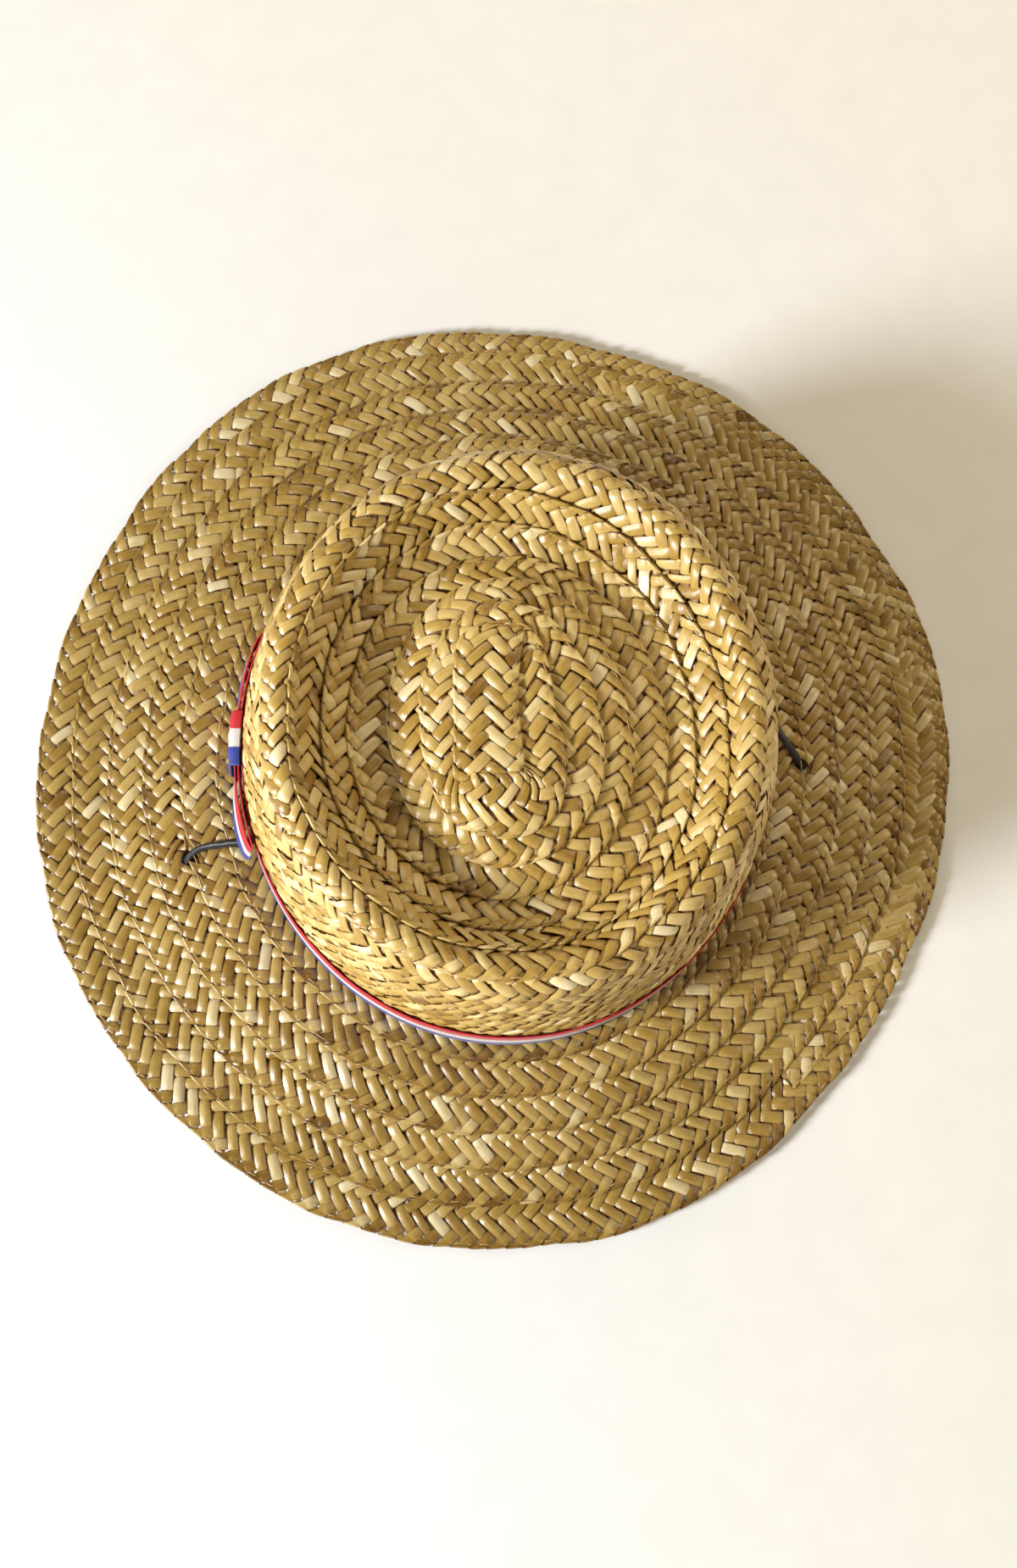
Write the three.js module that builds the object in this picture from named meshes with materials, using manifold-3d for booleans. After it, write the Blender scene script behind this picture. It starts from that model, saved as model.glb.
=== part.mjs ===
// Chupalla: a sewn straw-plait hat with a telescope crown, a flat brim, a striped band with a
// flat bow, and a thin chin cord.  Millimetres, +Z up, +Y towards the front, +X the wearer's right.
// The origin is the middle of the hat's outline on the surface that it stands on.
import * as THREE from 'three';
import Module from 'manifold-3d';
import { mergeVertices } from 'three/addons/utils/BufferGeometryUtils.js';

// ---------------------------------------------------------------- sizes
const GAP = 0.35;            // clearance between neighbouring pieces
const STRAW = 2.4;           // thickness of the sewn plait, two rows lapping
const RIBBON = 1.0;          // thickness of the ribbon
const RIBBON_WIDE = 20;      // width of the ribbon
const AROUND = 72;           // facets round the hat
const LIFT = 6.5;            // how far the brim's inner edge stands off the surface
const FOOT_Z = LIFT + STRAW + 0.3;
const BAND_Z0 = FOOT_Z + 0.05;
const BAND_Z1 = BAND_Z0 + RIBBON_WIDE;
const CORD_D = 2.6;

// Crown, outer face, from the foot up over the rim and down to the middle.
// wide and long are the semi-axes across and front to back; lean is how much higher than z the
// ring stands on the wearer's right, and lower on the left.
const CROWN = [
  { at: 'foot',        wide: 91.5, long: 99.3, z: FOOT_Z },
  { at: 'band top',    wide: 90.5, long: 98.1, z: BAND_Z1 },
  { at: 'wall',        wide: 89.0, long: 96.4, z: 45.0 },
  { at: 'wall',        wide: 86.9, long: 94.1, z: 59.0 },
  { at: 'wall',        wide: 84.6, long: 91.7, z: 70.5 },
  { at: 'shoulder',    wide: 82.3, long: 89.2, z: 78.5 },
  { at: 'shoulder',    wide: 79.6, long: 86.4, z: 82.9 },
  { at: 'rim crest',   wide: 75.4, long: 81.9, z: 85.0 },
  { at: 'rim inside',  wide: 71.4, long: 77.4, z: 83.7, lean: -0.1 },
  { at: 'first seam',  wide: 68.4, long: 74.2, z: 79.95, lean: -0.95 },
  { at: 'second seam', wide: 60.2, long: 66.9, z: 72.5, lean: -1.7 },
  { at: 'third seam',  wide: 52.2, long: 58.8, z: 68.5, lean: -0.3 },
  { at: 'moat floor',  wide: 46.0, long: 53.6, z: 68.6, lean: 1.2 },
  { at: 'dome foot',   wide: 39.6, long: 48.4, z: 70.7, lean: 1.5 },
  { at: 'dome',        wide: 30.6, long: 40.6, z: 74.5, lean: 0.5 },
  { at: 'dome',        wide: 20.4, long: 30.4, z: 77.2 },
  { at: 'dome',        wide: 9.6,  long: 17.6, z: 78.6 },
];
const DOME_Z = 79.0;

// Brim outline: distance from the middle, every 15 degrees from the wearer's right.
const OUTLINE = [
  { deg: 0, r: 165.9 }, { deg: 15, r: 167.5 }, { deg: 30, r: 166.1 }, { deg: 45, r: 167.2 },
  { deg: 60, r: 168.0 }, { deg: 75, r: 167.7 }, { deg: 90, r: 169.2 }, { deg: 105, r: 170.5 },
  { deg: 120, r: 170.3 }, { deg: 135, r: 168.0 }, { deg: 150, r: 165.3 }, { deg: 165, r: 165.0 },
  { deg: 180, r: 165.8 }, { deg: 195, r: 167.4 }, { deg: 210, r: 167.9 }, { deg: 225, r: 168.1 },
  { deg: 240, r: 169.2 }, { deg: 255, r: 169.9 }, { deg: 270, r: 169.0 }, { deg: 285, r: 168.7 },
  { deg: 300, r: 165.7 }, { deg: 315, r: 161.8 }, { deg: 330, r: 161.0 }, { deg: 345, r: 163.2 },
];
// Brim underside: how high it stands, from the crown's foot (0) out to the edge (1).
const BRIM = [
  { out: 0.00, lift: 1.00 }, { out: 0.13, lift: 0.97 }, { out: 0.27, lift: 0.86 },
  { out: 0.40, lift: 0.66 }, { out: 0.55, lift: 0.33 }, { out: 0.63, lift: 0.14 },
  { out: 0.70, lift: 0.0 }, { out: 0.86, lift: 0.0 }, { out: 1.00, lift: 0.0 },
];
const COLLAR = { rise: 7.0, thick: 2.0, lean: 0.45 };   // above the brim's top, inside the crown

// ---------------------------------------------------------------- helpers
const lerp = (a, b, t) => a + (b - a) * t;

function lookUp(rows, key, x, value) {       // straight lines between a table's rows
  for (let i = 1; i < rows.length; i++) {
    if (x <= rows[i][key] || i === rows.length - 1) {
      const t = (x - rows[i - 1][key]) / (rows[i][key] - rows[i - 1][key]);
      return lerp(rows[i - 1][value], rows[i][value], t);
    }
  }
}

function outlineRadius(angle) {              // smooth closed curve through OUTLINE
  const n = OUTLINE.length;
  const s = ((angle / (2 * Math.PI)) % 1 + 1) % 1 * n;
  const i = Math.floor(s), t = s - i;
  const r = (k) => OUTLINE[(i + k + n) % n].r;
  const [p0, p1, p2, p3] = [r(-1), r(0), r(1), r(2)];
  return 0.5 * (2 * p1 + (p2 - p0) * t + (2 * p0 - 5 * p1 + 4 * p2 - p3) * t * t
    + (3 * p1 - p0 - 3 * p2 + p3) * t * t * t);
}

class Build {                                // collects triangles of one closed solid
  constructor() { this.p = []; this.index = []; }
  add(v) { this.p.push(v[0], v[1], v[2]); return this.p.length / 3 - 1; }
  ring(points) { return points.map((v) => this.add(v)); }
  quad(a, b, c, d) { this.index.push(a, b, c, a, c, d); }
  band(lower, upper, closed = true) {        // faces out when lower runs anticlockwise
    const n = lower.length;
    for (let i = 0; i < (closed ? n : n - 1); i++) {
      const j = (i + 1) % n;
      this.quad(lower[i], lower[j], upper[j], upper[i]);
    }
  }
  fan(ring, apex) { ring.forEach((v, i) => this.index.push(v, ring[(i + 1) % ring.length], apex)); }
  geometry() {
    const g = new THREE.BufferGeometry();
    g.setAttribute('position', new THREE.Float32BufferAttribute(this.p, 3));
    g.setIndex(this.index);
    g.computeVertexNormals();
    return g;
  }
}

const angles = Array.from({ length: AROUND }, (_, i) => (i / AROUND) * 2 * Math.PI);
const oval = (wide, long, z, lean = 0) => angles.map(
  (t) => [wide * Math.cos(t), long * Math.sin(t), z + lean * Math.cos(t)]);

function loftSections(sections) {            // closed sections in a row, flat ends
  const b = new Build();
  const rings = sections.map((s) => b.ring(s));
  for (let i = 1; i < rings.length; i++) b.band(rings[i - 1], rings[i]);
  const cap = (r, flip) => {                 // a section is two sides of equal count
    const h = r.length / 2;
    for (let k = 0; k < h - 1; k++) {
      const q = [r[k], r[k + 1], r[r.length - 2 - k], r[r.length - 1 - k]];
      if (flip) q.reverse();
      b.quad(...q);
    }
  };
  cap(rings[0], true);
  cap(rings[rings.length - 1], false);
  return b.geometry();
}

// ---------------------------------------------------------------- crown
function crownGeometry() {
  const rows = [...CROWN, { wide: 0, long: 0, z: DOME_Z }];
  const inner = CROWN.map((r, i) => {
    const a = rows[Math.max(i - 1, 0)], c = rows[i + 1];
    const dr = (c.wide + c.long - a.wide - a.long) / 2, dz = c.z - a.z, l = Math.hypot(dr, dz);
    const nr = dz / l, nz = -dr / l;         // outward and up
    return {
      wide: r.wide - STRAW * nr, long: r.long - STRAW * nr, z: i ? r.z - STRAW * nz : r.z, lean: r.lean,
    };
  });
  const b = new Build();
  const out = CROWN.map((r) => b.ring(oval(r.wide, r.long, r.z, r.lean)));
  const inn = inner.map((r) => b.ring(oval(r.wide, r.long, r.z, r.lean)));
  for (let i = 1; i < out.length; i++) {
    b.band(out[i - 1], out[i]);
    b.band(inn[i], inn[i - 1]);
  }
  b.band(inn[0], out[0]);
  b.fan(out[out.length - 1], b.add([0, 0, DOME_Z]));
  b.fan([...inn[inn.length - 1]].reverse(), b.add([0, 0, DOME_Z - STRAW]));
  return b.geometry();
}

// ---------------------------------------------------------------- brim
const foot = CROWN[0];
const brimPoint = (t, out, z) => {           // out: 0 at the crown's foot, 1 at the edge
  const f = [foot.wide * Math.cos(t), foot.long * Math.sin(t)];
  const a = Math.atan2(f[1], f[0]), r = outlineRadius(a);
  return [lerp(f[0], r * Math.cos(a), out), lerp(f[1], r * Math.sin(a), out), z];
};
const brimUnder = (out) => LIFT * lookUp(BRIM, 'out', Math.max(out, 0), 'lift');
function brimTopAt(x, y) {                   // height of the brim's upper face at a place
  const a = Math.atan2(y, x), r = Math.hypot(x, y);
  const f = 1 / Math.hypot(Math.cos(a) / foot.wide, Math.sin(a) / foot.long);
  return brimUnder((r - f) / (outlineRadius(a) - f)) + STRAW;
}

function slot(x, y, heading, long, wide) {   // cutter for a cord's slot
  const g = new THREE.CylinderGeometry(1, 1, 20, 20);
  g.rotateX(Math.PI / 2);
  g.scale(long / 2, wide / 2, 1);
  g.rotateZ(heading);
  g.translate(x, y, 5);
  return g;
}

async function cut(target, cutters) {
  const wasm = await Module();
  wasm.setup();
  const solid = (g) => {
    const c = g.clone();
    c.deleteAttribute('normal');
    c.deleteAttribute('uv');
    const m = mergeVertices(c, 1e-4);
    const mesh = new wasm.Mesh({
      numProp: 3,
      vertProperties: new Float32Array(m.attributes.position.array),
      triVerts: new Uint32Array(m.index.array),
    });
    mesh.merge();
    return new wasm.Manifold(mesh);
  };
  let body = solid(target);
  for (const c of cutters) body = body.subtract(solid(c));
  const out = body.getMesh();
  const p = [];
  for (let i = 0; i < out.vertProperties.length; i += out.numProp) {
    p.push(out.vertProperties[i], out.vertProperties[i + 1], out.vertProperties[i + 2]);
  }
  const g = new THREE.BufferGeometry();
  g.setAttribute('position', new THREE.Float32BufferAttribute(p, 3));
  g.setIndex(Array.from(out.triVerts));
  g.computeVertexNormals();
  return g;
}

function brimRing() {
  const in0 = STRAW + GAP, in1 = in0 + COLLAR.thick;
  const inset = (by, z) => oval(foot.wide - by, foot.long - by, z);
  const top = LIFT + STRAW;
  const loop = [];
  BRIM.forEach((r) => loop.push(angles.map((t) => brimPoint(t, r.out, LIFT * r.lift))));
  [...BRIM].reverse().forEach((r) => {
    loop.push(angles.map((t) => brimPoint(t, r.out, LIFT * r.lift + STRAW)));
  });
  loop.push(inset(in0, top));
  loop.push(inset(in0 + COLLAR.lean, top + COLLAR.rise));
  loop.push(inset(in1 + COLLAR.lean, top + COLLAR.rise));
  loop.push(inset(in1, LIFT + 1.0));
  loop.push(inset(in1 - 1.0, LIFT));
  const b = new Build();
  const rings = loop.map((r) => b.ring(r));
  rings.forEach((r, i) => b.band(r, rings[(i + 1) % rings.length]));
  return b.geometry();
}

// ---------------------------------------------------------------- band and bow
// A place beside the crown's left wall: how far front of the middle, how far off the wall.
function beside(y, off, z) {
  const wide = lookUp(CROWN, 'z', z, 'wide'), long = lookUp(CROWN, 'z', z, 'long');
  const x = -wide * Math.sqrt(1 - (y / long) ** 2);
  const n = [x / wide ** 2, y / long ** 2], l = Math.hypot(n[0], n[1]);
  return [x + (n[0] / l) * off, y + (n[1] / l) * off, z];
}

function bandGeometry() {
  const b = new Build();
  const ring = (row, off, z) => b.ring(oval(row.wide + off, row.long + off, z));
  const loop = [
    ring(CROWN[0], GAP, BAND_Z0), ring(CROWN[0], GAP + RIBBON, BAND_Z0),
    ring(CROWN[1], GAP + RIBBON, BAND_Z1), ring(CROWN[1], GAP, BAND_Z1),
  ];
  loop.forEach((r, i) => b.band(r, loop[(i + 1) % loop.length]));
  return b.geometry();
}

const KNOT_Y = 2.3, KNOT_WIDE = 19.0;
const ON_BAND = GAP + RIBBON + GAP;          // clear of the band's outer face
// One loop of the bow, from inside the knot out along the band to the tip and back.
// low and high are the distances off the wall of its lower and upper edges.
const LOOP = [
  { along: 3.0,  low: 0.70, high: 0.70, z0: 11.3, z1: 28.4 },
  { along: 11.0, low: 0.70, high: 0.70, z0: 11.2, z1: 28.4 },
  { along: 25.0, low: 0.75, high: 0.70, z0: 9.9,  z1: 29.3 },
  { along: 36.0, low: 1.00, high: 0.80, z0: 9.7,  z1: 29.5 },
  { along: 38.6, low: 1.80, high: 1.20, z0: 9.7,  z1: 29.6 },
  { along: 39.6, low: 3.40, high: 2.10, z0: 9.7,  z1: 29.6 },
  { along: 38.4, low: 5.20, high: 3.10, z0: 9.7,  z1: 29.6 },
  { along: 35.0, low: 6.20, high: 3.50, z0: 9.7,  z1: 29.5 },
  { along: 25.0, low: 6.60, high: 3.40, z0: 9.9,  z1: 29.3 },
  { along: 17.0, low: 5.00, high: 2.90, z0: 10.2, z1: 29.1 },
  { along: 11.0, low: 2.20, high: 2.05, z0: 11.2, z1: 28.4 },
  { along: 3.0,  low: 2.00, high: 2.00, z0: 11.3, z1: 28.3 },
];

function loopGeometry(side, stretch, rise) {   // rise: how far the tip stands up
  const levels = [0, 0.5, 1];
  const at = (i, h) => [LOOP[i].along * stretch, ON_BAND + lerp(LOOP[i].low, LOOP[i].high, h)];
  const sections = LOOP.map((row, i) => {
    const i0 = Math.max(i - 1, 0), i1 = Math.min(i + 1, LOOP.length - 1);
    const edge = (h, s) => {
      const a = at(i0, h), c = at(i1, h), l = Math.hypot(c[0] - a[0], c[1] - a[1]);
      const m = at(i, h), k = (s * RIBBON) / 2 / l;
      const y = KNOT_Y + side * (m[0] - (c[1] - a[1]) * k);
      return beside(y, m[1] + (c[0] - a[0]) * k,
        lerp(row.z0, row.z1, h) + (rise * Math.max(row.along - 11, 0)) / 28);
    };
    return [...levels.map((h) => edge(h, -1)), ...[...levels].reverse().map((h) => edge(h, 1))];
  });
  if (side > 0) sections.reverse();
  return loftSections(sections);
}

// The knot is a strap across the loops, from below them to above them.
const KNOT = [
  { off: 0.0, z: 9.85 }, { off: 2.0, z: 9.85 }, { off: 3.4, z: 10.3 }, { off: 3.8, z: 13.0 },
  { off: 3.9, z: 19.5 }, { off: 3.8, z: 26.5 }, { off: 3.4, z: 29.2 }, { off: 2.0, z: 29.75 },
  { off: 0.0, z: 29.75 },
];
function knotGeometry() {
  const across = [-0.5, -0.3, -0.1, 0.1, 0.3, 0.5];
  const sections = KNOT.map((row, i) => {
    const a = KNOT[Math.max(i - 1, 0)], c = KNOT[Math.min(i + 1, KNOT.length - 1)];
    const l = Math.hypot(c.off - a.off, c.z - a.z);
    const n = [(c.z - a.z) / l, -(c.off - a.off) / l];
    const edge = (u, s) => beside(KNOT_Y + u * KNOT_WIDE,
      ON_BAND + row.off + (n[0] * s * RIBBON) / 2, row.z + (n[1] * s * RIBBON) / 2);
    return [...across.map((u) => edge(u, -1)), ...[...across].reverse().map((u) => edge(u, 1))];
  });
  return loftSections(sections);
}

// ---------------------------------------------------------------- chin cord
// From the band on the left, over the brim, down through its slot, round on the surface
// inside the crown, and up the same way on the right.
const R = CORD_D / 2;
const ON = R + 0.1;                          // centre's height above what it lies on
const CORD = [
  { on: 'brim', x: -88.9, y: -30.5 }, { on: 'brim', x: -94.5, y: -31.0 },
  { on: 'brim', x: -100.2, y: -31.7 }, { on: 'brim', x: -105.3, y: -32.5 },
  { on: 'slot', x: -109.4, y: -34.2, z: 8.1 }, { on: 'slot', x: -112.2, y: -37.4, z: 4.9 },
  { on: 'slot', x: -113.7, y: -42.2, z: 2.2 }, { on: 'floor', x: -113.2, y: -49.4 },
  { on: 'floor', x: -109.0, y: -57.4 }, { on: 'floor', x: -100.0, y: -64.4 },
  { on: 'floor', x: -86.0, y: -68.4 }, { on: 'floor', x: -70.0, y: -66.0 },
  { on: 'floor', x: -57.0, y: -56.0 }, { on: 'floor', x: -49.0, y: -40.0 },
  { on: 'floor', x: -45.0, y: -20.0 }, { on: 'floor', x: -43.0, y: 2.0 },
  { on: 'floor', x: -38.0, y: 24.0 }, { on: 'floor', x: -28.0, y: 43.0 },
  { on: 'floor', x: -11.0, y: 54.0 }, { on: 'floor', x: 8.0, y: 53.5 },
  { on: 'floor', x: 22.5, y: 42.5 }, { on: 'floor', x: 29.5, y: 25.0 },
  { on: 'floor', x: 31.0, y: 5.0 }, { on: 'floor', x: 34.0, y: -16.0 },
  { on: 'floor', x: 42.0, y: -35.0 }, { on: 'floor', x: 56.5, y: -48.0 },
  { on: 'floor', x: 74.0, y: -51.5 }, { on: 'floor', x: 90.5, y: -45.5 },
  { on: 'floor', x: 103.0, y: -34.0 }, { on: 'floor', x: 109.2, y: -21.0 },
  { on: 'floor', x: 110.6, y: -13.5 }, { on: 'slot', x: 110.0, y: -7.0, z: 2.3 },
  { on: 'slot', x: 108.7, y: -2.2, z: 5.1 }, { on: 'slot', x: 106.6, y: 2.2, z: 8.2 },
  { on: 'brim', x: 103.5, y: 6.2 }, { on: 'brim', x: 100.0, y: 11.2 },
  { on: 'brim', x: 96.6, y: 16.4 }, { on: 'brim', x: 92.5, y: 20.2 },
];
const cordCurve = new THREE.CatmullRomCurve3(CORD.map((p) => new THREE.Vector3(p.x, p.y,
  p.on === 'floor' ? ON : p.on === 'slot' ? p.z : brimTopAt(p.x, p.y) + ON + 0.2)), false, 'centripetal');

function cordGeometry() {
  const section = new THREE.Shape();
  for (let i = 0; i < 8; i++) {
    const t = (i / 8) * 2 * Math.PI;
    section[i ? 'lineTo' : 'moveTo'](R * Math.cos(t), R * Math.sin(t));
  }
  section.closePath();
  return new THREE.ExtrudeGeometry(section, { steps: 80, bevelEnabled: false, extrudePath: cordCurve });
}

// ---------------------------------------------------------------- scene
const straw = { color: new THREE.Color(0.78, 0.62, 0.34), roughness: 0.5, metalness: 0 };
const ribbon = { color: new THREE.Color(0.66, 0.05, 0.09), roughness: 0.55, metalness: 0 };
const cord = { color: new THREE.Color(0.03, 0.03, 0.035), roughness: 0.4, metalness: 0 };
const hat = new THREE.Group();
function piece(name, geometry, look) {
  const m = new THREE.Mesh(geometry, new THREE.MeshStandardMaterial(look));
  m.name = name;
  hat.add(m);
}

piece('crown', crownGeometry(), straw);
piece('brim', await cut(brimRing(), [
  slot(-109.8, -35.9, Math.atan2(3.3, 3.4), 14.0, 6.2),
  slot(107.3, 0.5, Math.atan2(-4.6, 2.6), 14.0, 6.2),
]), straw);
piece('hat_band', bandGeometry(), ribbon);
piece('bow_loop_front', loopGeometry(1, 0.92, 0.6), ribbon);
piece('bow_loop_back', loopGeometry(-1, 0.96, 2.8), ribbon);
piece('bow_knot', knotGeometry(), ribbon);
piece('chin_cord', cordGeometry(), cord);

export default hat;
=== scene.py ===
# Chupalla: a sewn straw-plait hat.  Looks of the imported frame.  Lengths in the tables are mm.
import math

import bpy
import numpy as np
from mathutils import Matrix, Vector


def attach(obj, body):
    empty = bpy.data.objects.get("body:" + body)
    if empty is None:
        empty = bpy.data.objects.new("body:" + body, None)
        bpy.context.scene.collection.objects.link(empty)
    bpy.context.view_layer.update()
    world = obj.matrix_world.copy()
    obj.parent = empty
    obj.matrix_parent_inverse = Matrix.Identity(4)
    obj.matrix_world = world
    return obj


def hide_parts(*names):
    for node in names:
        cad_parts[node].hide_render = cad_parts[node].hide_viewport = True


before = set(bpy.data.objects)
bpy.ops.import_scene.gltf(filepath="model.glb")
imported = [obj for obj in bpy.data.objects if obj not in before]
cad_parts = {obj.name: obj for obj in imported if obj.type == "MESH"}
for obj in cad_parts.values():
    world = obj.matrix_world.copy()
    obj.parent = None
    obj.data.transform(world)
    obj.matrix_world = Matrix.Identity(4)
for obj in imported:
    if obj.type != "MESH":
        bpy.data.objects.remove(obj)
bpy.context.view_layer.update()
MM = 0.001
scene = bpy.context.scene

# ------------------------------------------------------------------ camera
cam_data = bpy.data.cameras.new("camera")
cam_data.sensor_fit = "HORIZONTAL"
cam_data.sensor_width = 36.0
cam_data.lens = 58.32
cam_data.clip_start = 0.02
camera = bpy.data.objects.new("camera", cam_data)
scene.collection.objects.link(camera)
camera_at = np.array([-34.98, -128.40, 584.27]) * MM
aim = np.array([1.84, -6.44, 0.0]) * MM
ahead = (aim - camera_at) / np.linalg.norm(aim - camera_at)
right = np.cross(ahead, [0.0, 1.0, 0.0])
right /= np.linalg.norm(right)
above = np.cross(right, ahead)
turn = np.eye(4)
turn[:3, 0], turn[:3, 1], turn[:3, 2], turn[:3, 3] = right, above, -ahead, camera_at
camera.matrix_world = Matrix(turn.tolist())
scene.camera = camera

# ------------------------------------------------------------------ shape tables, as the CAD has them
GAP, STRAW, RIBBON, LIFT = 0.35, 2.4, 1.0, 6.5
FOOT_Z, BAND_Z0, BAND_Z1 = 9.2, 9.25, 29.25
CROWN = np.array([  # semi-axes across and front to back, height, lean; from the middle out and down
    (0, 0, 79, 0), (9.6, 17.6, 78.6, 0), (20.4, 30.4, 77.2, 0), (30.6, 40.6, 74.5, 0.5),
    (39.6, 48.4, 70.7, 1.5), (46, 53.6, 68.6, 1.2), (52.2, 58.8, 68.5, -0.3), (60.2, 66.9, 72.5, -1.7),
    (68.4, 74.2, 79.95, -0.95), (71.4, 77.4, 83.7, -0.1), (75.4, 81.9, 85, 0), (79.6, 86.4, 82.9, 0),
    (82.3, 89.2, 78.5, 0), (84.6, 91.7, 70.5, 0), (86.9, 94.1, 59, 0), (89, 96.4, 45, 0),
    (90.5, 98.1, 29.25, 0), (91.5, 99.3, 9.2, 0)], float)
OUTLINE = [165.9, 167.5, 166.1, 167.2, 168.0, 167.7, 169.2, 170.5, 170.3, 168.0, 165.3, 165.0,
           165.8, 167.4, 167.9, 168.1, 169.2, 169.9, 169.0, 168.7, 165.7, 161.8, 161.0, 163.2]
BRIM = np.array([(0, 1), (.13, .97), (.27, .86), (.40, .66), (.55, .33), (.63, .14), (.70, 0),
                 (1, 0)], float)
FOOT = CROWN[-1]


def knots(x, y, q):
    """A smooth curve through the rows of y at x, read at q."""
    x, y, q = np.asarray(x, float), np.asarray(y, float), np.asarray(q, float)
    if y.ndim == 1:
        return knots(x, y[:, None], q)[..., 0]
    h = np.diff(x)
    d = np.diff(y, axis=0) / h[:, None]
    m = np.empty_like(y)
    m[0], m[-1] = d[0], d[-1]
    m[1:-1] = (d[:-1] * h[1:, None] + d[1:] * h[:-1, None]) / (h[:-1] + h[1:])[:, None]
    i = np.clip(np.searchsorted(x, q, "right") - 1, 0, len(h) - 1)
    t, g = ((q - x[i]) / h[i])[..., None], h[i][..., None]
    t = np.clip(t, 0, 1)
    return ((2 * t ** 3 - 3 * t ** 2 + 1) * y[i] + (t ** 3 - 2 * t ** 2 + t) * g * m[i]
            + (3 * t ** 2 - 2 * t ** 3) * y[i + 1] + (t ** 3 - t ** 2) * g * m[i + 1])


def smooth(a, b, x):
    t = np.clip((np.asarray(x, float) - a) / (b - a), 0, 1)
    return t * t * (3 - 2 * t)


def outline_radius(angle):
    n = len(OUTLINE)
    r = np.array(OUTLINE)
    s = (np.asarray(angle) / (2 * np.pi)) % 1.0 * n
    i = np.floor(s).astype(int)
    t = s - i
    p0, p1, p2, p3 = (r[(i + k) % n] for k in (-1, 0, 1, 2))
    return 0.5 * (2 * p1 + (p2 - p0) * t + (2 * p0 - 5 * p1 + 4 * p2 - p3) * t * t
                  + (3 * p1 - p0 - 3 * p2 + p3) * t ** 3)


def brim_under(out):
    return LIFT * np.interp(np.clip(out, 0, None), BRIM[:, 0], BRIM[:, 1])


def brim_top(x, y):
    a, r = np.arctan2(y, x), np.hypot(x, y)
    f = 1 / np.hypot(np.cos(a) / FOOT[0], np.sin(a) / FOOT[1])
    return brim_under((r - f) / (outline_radius(a) - f)) + STRAW


def wall(z):
    zs = CROWN[::-1, 2][:7]
    return np.interp(z, zs, CROWN[::-1, 0][:7]), np.interp(z, zs, CROWN[::-1, 1][:7])


def beside(y, off, z):
    """A place beside the crown's left wall."""
    wide, long = wall(z)
    x = -wide * np.sqrt(1 - (y / long) ** 2)
    n = np.stack([x / wide ** 2, y / long ** 2], -1)
    n /= np.linalg.norm(n, axis=-1, keepdims=True)
    return np.stack([x + n[..., 0] * off, y + n[..., 1] * off, z + 0 * x], -1)


# ------------------------------------------------------------------ making meshes
def mesh_object(name, v, quads, uv=None, tone=None, sharp=None):
    """v in mm; quads an (n, 4) array; uv and tone one row a vertex."""
    me = bpy.data.meshes.new(name)
    v, quads = np.asarray(v, np.float32), np.asarray(quads, np.int32)
    me.vertices.add(len(v))
    me.vertices.foreach_set("co", (v * MM).ravel())
    me.loops.add(quads.size)
    me.loops.foreach_set("vertex_index", quads.ravel())
    me.polygons.add(len(quads))
    me.polygons.foreach_set("loop_start", np.arange(0, quads.size, 4, dtype=np.int32))
    me.update(calc_edges=True)
    me.polygons.foreach_set("use_smooth", np.ones(len(quads), bool))
    if uv is not None:
        layer = me.uv_layers.new(name="run")
        layer.data.foreach_set("uv", np.asarray(uv, np.float32)[quads.ravel()].ravel())
    if tone is not None:
        layer = me.attributes.new("tone", "FLOAT_COLOR", "POINT")
        layer.data.foreach_set("color", np.asarray(tone, np.float32).ravel())
    if sharp is not None:
        e = np.empty(len(me.edges) * 2, np.int32)
        me.edges.foreach_get("vertices", e)
        e = e.reshape(-1, 2)
        flag = (sharp[e[:, 0]] == sharp[e[:, 1]]) & (sharp[e[:, 0]] > 0)
        layer = me.attributes.new("sharp_edge", "BOOLEAN", "EDGE")
        layer.data.foreach_set("value", flag)
    me.validate()
    ob = bpy.data.objects.new(name, me)
    scene.collection.objects.link(ob)
    return ob


def grid_quads(rows, cols, close_rows=False, close_cols=False, base=0):
    i = np.arange(rows if close_rows else rows - 1)
    j = np.arange(cols if close_cols else cols - 1)
    i, j = np.meshgrid(i, j, indexing="ij")
    i1, j1 = (i + 1) % rows, (j + 1) % cols
    return base + np.stack([i * cols + j, i1 * cols + j, i1 * cols + j1, i * cols + j1],
                           -1).reshape(-1, 4)


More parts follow.
